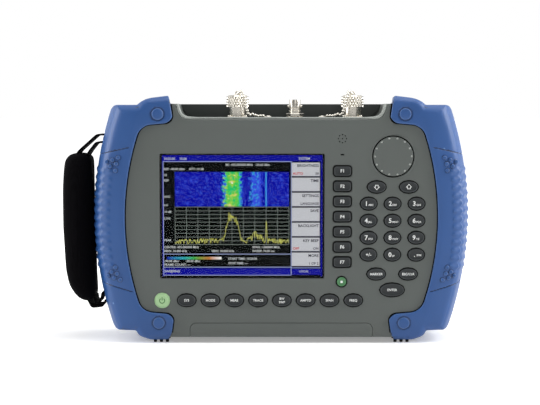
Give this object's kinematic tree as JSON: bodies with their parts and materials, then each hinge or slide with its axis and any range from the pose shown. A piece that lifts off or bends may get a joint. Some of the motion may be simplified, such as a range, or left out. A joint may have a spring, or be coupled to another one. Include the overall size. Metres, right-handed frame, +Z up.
{
  "type": "handheld spectrum analyzer",
  "caption": "Handheld spectrum analyzer in a grey case with rubber bumpers, screen, keypad, knob, capped radio ports on top, padded hand strap and tilt stand.",
  "frame": {"origin": "on the surface that the part stands on, below the middle of its box, which also holds the hand strap", "axes": "+X towards the part's right side as the user faces it, +Y from the front to the back, +Z up"},
  "size_m": [0.3413, 0.0695, 0.2091],
  "materials": {
    "case_plastic": "fine moulded grain",
    "bumper_rubber": "satin moulded rubber",
    "window_glass": "clear",
    "display_panel": "smooth",
    "mat_silicone": "matt",
    "board_laminate": "lacquered",
    "shield_metal": "satin",
    "knob_plastic": "satin",
    "encoder_metal": "satin",
    "panel_plastic": "matt",
    "nickel": "bright plated, knurled on the caps",
    "chain_metal": "bright",
    "socket_plastic": "smooth",
    "stand_plastic": "fine moulded grain",
    "battery_plastic": "matt",
    "strap_fabric": "padded woven nylon",
    "webbing_fabric": "woven nylon webbing",
    "screw_steel": "blackened",
    "key_plastic": "satin silicone",
    "preset_plastic": "satin",
    "power_plastic": "satin"
  },
  "bodies": {
    "case": {"front_case": "case_plastic", "rear_case": "case_plastic", "left_bumper": "bumper_rubber", "right_bumper": "bumper_rubber", "display_window": "window_glass", "display_module": "display_panel", "keypad_mat": "mat_silicone", "keypad_board": "board_laminate", "main_board": "board_laminate", "rf_module": "shield_metal", "knob_encoder": "encoder_metal", "connector_panel": "panel_plastic", "rf_output_connector": "nickel", "rf_input_connector": "nickel", "reference_connector": "nickel", "cap_chains": "chain_metal", "io_sockets": "socket_plastic", "battery_pack": "battery_plastic", "strap_pad": "strap_fabric", "strap_webbing": "webbing_fabric", "case_screws": "screw_steel"},
    "knob": {"knob": "knob_plastic"},
    "output_cap": {"rf_output_cap": "nickel"},
    "input_cap": {"rf_input_cap": "nickel"},
    "stand": {"tilt_stand": "stand_plastic"},
    "door": {"battery_door": "case_plastic"},
    "soft_key_1": {"soft_key_1": "key_plastic"},
    "soft_key_2": {"soft_key_2": "key_plastic"},
    "soft_key_3": {"soft_key_3": "key_plastic"},
    "soft_key_4": {"soft_key_4": "key_plastic"},
    "soft_key_5": {"soft_key_5": "key_plastic"},
    "soft_key_6": {"soft_key_6": "key_plastic"},
    "soft_key_7": {"soft_key_7": "key_plastic"},
    "arrow_down_key": {"arrow_down_key": "key_plastic"},
    "arrow_up_key": {"arrow_up_key": "key_plastic"},
    "one_key": {"one_key": "key_plastic"},
    "two_key": {"two_key": "key_plastic"},
    "three_key": {"three_key": "key_plastic"},
    "four_key": {"four_key": "key_plastic"},
    "five_key": {"five_key": "key_plastic"},
    "six_key": {"six_key": "key_plastic"},
    "seven_key": {"seven_key": "key_plastic"},
    "eight_key": {"eight_key": "key_plastic"},
    "nine_key": {"nine_key": "key_plastic"},
    "sign_key": {"sign_key": "key_plastic"},
    "zero_key": {"zero_key": "key_plastic"},
    "point_key": {"point_key": "key_plastic"},
    "marker_key": {"marker_key": "key_plastic"},
    "escape_key": {"escape_key": "key_plastic"},
    "enter_key": {"enter_key": "key_plastic"},
    "system_key": {"system_key": "key_plastic"},
    "mode_key": {"mode_key": "key_plastic"},
    "measure_key": {"measure_key": "key_plastic"},
    "trace_key": {"trace_key": "key_plastic"},
    "sweep_key": {"sweep_key": "key_plastic"},
    "amplitude_key": {"amplitude_key": "key_plastic"},
    "span_key": {"span_key": "key_plastic"},
    "frequency_key": {"frequency_key": "key_plastic"},
    "preset_key": {"preset_key": "preset_plastic"},
    "power_key": {"power_key": "power_plastic"}
  },
  "joints": [
    {"name": "knob_turn", "type": "hinge", "parent": "case", "child": "knob", "pos_m": [0.10455, -0.03, 0.155], "axis": [0, -1, 0], "continuous": true},
    {"name": "output_cap_lift", "type": "slide", "parent": "case", "child": "output_cap", "axis": [0, 0, 1], "range_m": [0, 0.02], "deforming": ["cap_chains"]},
    {"name": "input_cap_lift", "type": "slide", "parent": "case", "child": "input_cap", "axis": [0, 0, 1], "range_m": [0, 0.02], "deforming": ["cap_chains"]},
    {"name": "stand_swing", "type": "hinge", "parent": "case", "child": "stand", "pos_m": [0.01275, 0.031, 0.128], "axis": [1, 0, 0], "range_deg": [0, 60]},
    {"name": "door_slide", "type": "slide", "parent": "case", "child": "door", "axis": [0, -1, 0], "range_m": [0, 0.04]},
    {"name": "soft_key_1_press", "type": "slide", "parent": "case", "child": "soft_key_1", "axis": [0, 1, 0], "range_m": [0, 0.0012], "stiffness_N_per_m": 400},
    {"name": "soft_key_2_press", "type": "slide", "parent": "case", "child": "soft_key_2", "axis": [0, 1, 0], "range_m": [0, 0.0012], "stiffness_N_per_m": 400},
    {"name": "soft_key_3_press", "type": "slide", "parent": "case", "child": "soft_key_3", "axis": [0, 1, 0], "range_m": [0, 0.0012], "stiffness_N_per_m": 400},
    {"name": "soft_key_4_press", "type": "slide", "parent": "case", "child": "soft_key_4", "axis": [0, 1, 0], "range_m": [0, 0.0012], "stiffness_N_per_m": 400},
    {"name": "soft_key_5_press", "type": "slide", "parent": "case", "child": "soft_key_5", "axis": [0, 1, 0], "range_m": [0, 0.0012], "stiffness_N_per_m": 400},
    {"name": "soft_key_6_press", "type": "slide", "parent": "case", "child": "soft_key_6", "axis": [0, 1, 0], "range_m": [0, 0.0012], "stiffness_N_per_m": 400},
    {"name": "soft_key_7_press", "type": "slide", "parent": "case", "child": "soft_key_7", "axis": [0, 1, 0], "range_m": [0, 0.0012], "stiffness_N_per_m": 400},
    {"name": "arrow_down_press", "type": "slide", "parent": "case", "child": "arrow_down_key", "axis": [0, 1, 0], "range_m": [0, 0.0012], "stiffness_N_per_m": 400},
    {"name": "arrow_up_press", "type": "slide", "parent": "case", "child": "arrow_up_key", "axis": [0, 1, 0], "range_m": [0, 0.0012], "stiffness_N_per_m": 400},
    {"name": "one_press", "type": "slide", "parent": "case", "child": "one_key", "axis": [0, 1, 0], "range_m": [0, 0.0012], "stiffness_N_per_m": 400},
    {"name": "two_press", "type": "slide", "parent": "case", "child": "two_key", "axis": [0, 1, 0], "range_m": [0, 0.0012], "stiffness_N_per_m": 400},
    {"name": "three_press", "type": "slide", "parent": "case", "child": "three_key", "axis": [0, 1, 0], "range_m": [0, 0.0012], "stiffness_N_per_m": 400},
    {"name": "four_press", "type": "slide", "parent": "case", "child": "four_key", "axis": [0, 1, 0], "range_m": [0, 0.0012], "stiffness_N_per_m": 400},
    {"name": "five_press", "type": "slide", "parent": "case", "child": "five_key", "axis": [0, 1, 0], "range_m": [0, 0.0012], "stiffness_N_per_m": 400},
    {"name": "six_press", "type": "slide", "parent": "case", "child": "six_key", "axis": [0, 1, 0], "range_m": [0, 0.0012], "stiffness_N_per_m": 400},
    {"name": "seven_press", "type": "slide", "parent": "case", "child": "seven_key", "axis": [0, 1, 0], "range_m": [0, 0.0012], "stiffness_N_per_m": 400},
    {"name": "eight_press", "type": "slide", "parent": "case", "child": "eight_key", "axis": [0, 1, 0], "range_m": [0, 0.0012], "stiffness_N_per_m": 400},
    {"name": "nine_press", "type": "slide", "parent": "case", "child": "nine_key", "axis": [0, 1, 0], "range_m": [0, 0.0012], "stiffness_N_per_m": 400},
    {"name": "sign_press", "type": "slide", "parent": "case", "child": "sign_key", "axis": [0, 1, 0], "range_m": [0, 0.0012], "stiffness_N_per_m": 400},
    {"name": "zero_press", "type": "slide", "parent": "case", "child": "zero_key", "axis": [0, 1, 0], "range_m": [0, 0.0012], "stiffness_N_per_m": 400},
    {"name": "point_press", "type": "slide", "parent": "case", "child": "point_key", "axis": [0, 1, 0], "range_m": [0, 0.0012], "stiffness_N_per_m": 400},
    {"name": "marker_press", "type": "slide", "parent": "case", "child": "marker_key", "axis": [0, 1, 0], "range_m": [0, 0.0012], "stiffness_N_per_m": 400},
    {"name": "escape_press", "type": "slide", "parent": "case", "child": "escape_key", "axis": [0, 1, 0], "range_m": [0, 0.0012], "stiffness_N_per_m": 400},
    {"name": "enter_press", "type": "slide", "parent": "case", "child": "enter_key", "axis": [0, 1, 0], "range_m": [0, 0.0012], "stiffness_N_per_m": 400},
    {"name": "system_press", "type": "slide", "parent": "case", "child": "system_key", "axis": [0, 1, 0], "range_m": [0, 0.0012], "stiffness_N_per_m": 400},
    {"name": "mode_press", "type": "slide", "parent": "case", "child": "mode_key", "axis": [0, 1, 0], "range_m": [0, 0.0012], "stiffness_N_per_m": 400},
    {"name": "measure_press", "type": "slide", "parent": "case", "child": "measure_key", "axis": [0, 1, 0], "range_m": [0, 0.0012], "stiffness_N_per_m": 400},
    {"name": "trace_press", "type": "slide", "parent": "case", "child": "trace_key", "axis": [0, 1, 0], "range_m": [0, 0.0012], "stiffness_N_per_m": 400},
    {"name": "sweep_press", "type": "slide", "parent": "case", "child": "sweep_key", "axis": [0, 1, 0], "range_m": [0, 0.0012], "stiffness_N_per_m": 400},
    {"name": "amplitude_press", "type": "slide", "parent": "case", "child": "amplitude_key", "axis": [0, 1, 0], "range_m": [0, 0.0012], "stiffness_N_per_m": 400},
    {"name": "span_press", "type": "slide", "parent": "case", "child": "span_key", "axis": [0, 1, 0], "range_m": [0, 0.0012], "stiffness_N_per_m": 400},
    {"name": "frequency_press", "type": "slide", "parent": "case", "child": "frequency_key", "axis": [0, 1, 0], "range_m": [0, 0.0012], "stiffness_N_per_m": 400},
    {"name": "preset_press", "type": "slide", "parent": "case", "child": "preset_key", "axis": [0, 1, 0], "range_m": [0, 0.0012], "stiffness_N_per_m": 400},
    {"name": "power_press", "type": "slide", "parent": "case", "child": "power_key", "axis": [0, 1, 0], "range_m": [0, 0.0012], "stiffness_N_per_m": 400}
  ]
}
